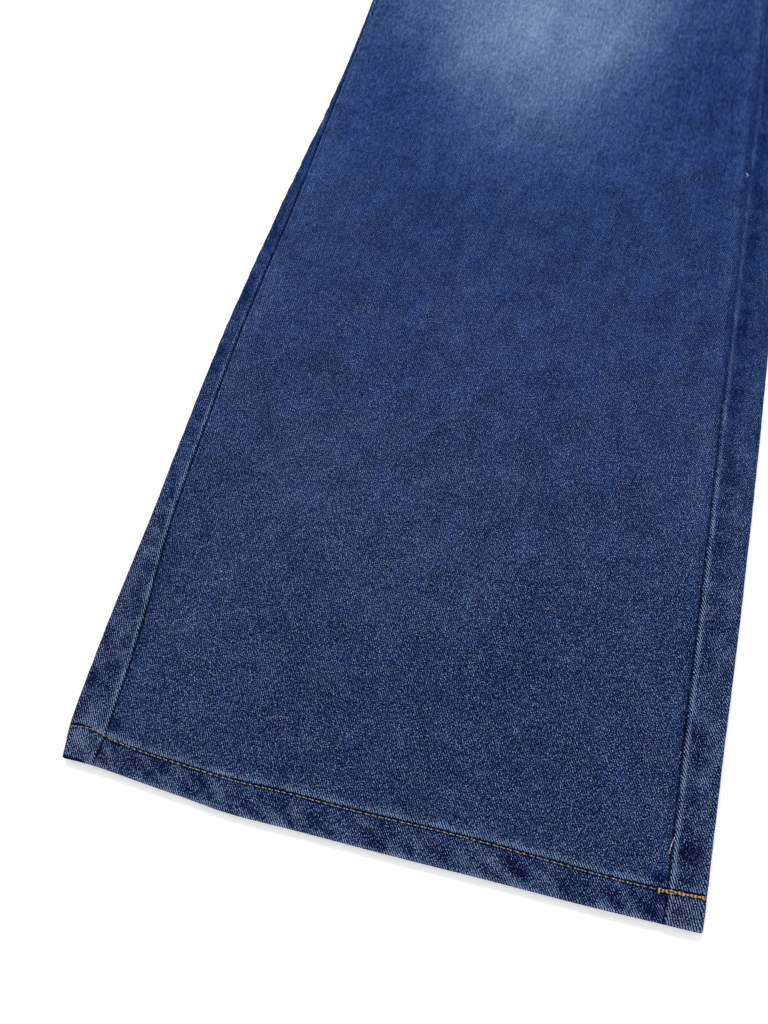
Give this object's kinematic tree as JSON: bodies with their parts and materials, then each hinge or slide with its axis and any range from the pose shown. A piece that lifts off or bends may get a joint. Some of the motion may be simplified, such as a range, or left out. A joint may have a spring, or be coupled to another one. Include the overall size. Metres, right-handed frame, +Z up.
{
  "type": "denim jumpsuit",
  "caption": "Sleeveless blue denim jumpsuit with wide straight legs, a waist seam and a buttoned front, laid flat with its front side up.",
  "frame": {"origin": "on the surface that the garment lies on, below the middle of its bounding box", "axes": "+Y from the hems to the neck, +X to the wearer's left, +Z up out of the front face"},
  "size_m": [0.723, 1.5232, 0.009],
  "materials": {
    "denim": "matte",
    "button_metal": "satin"
  },
  "bodies": {
    "root": {"leg_front_right": "denim", "leg_front_left": "denim", "leg_back_right": "denim", "leg_back_left": "denim", "bodice_front_right": "denim", "bodice_front_left": "denim", "bodice_back": "denim", "button_band": "denim", "button_1": "button_metal", "button_2": "button_metal", "button_3": "button_metal", "button_4": "button_metal", "button_5": "button_metal", "button_6": "button_metal", "button_7": "button_metal", "button_8": "button_metal"}
  },
  "joints": []
}
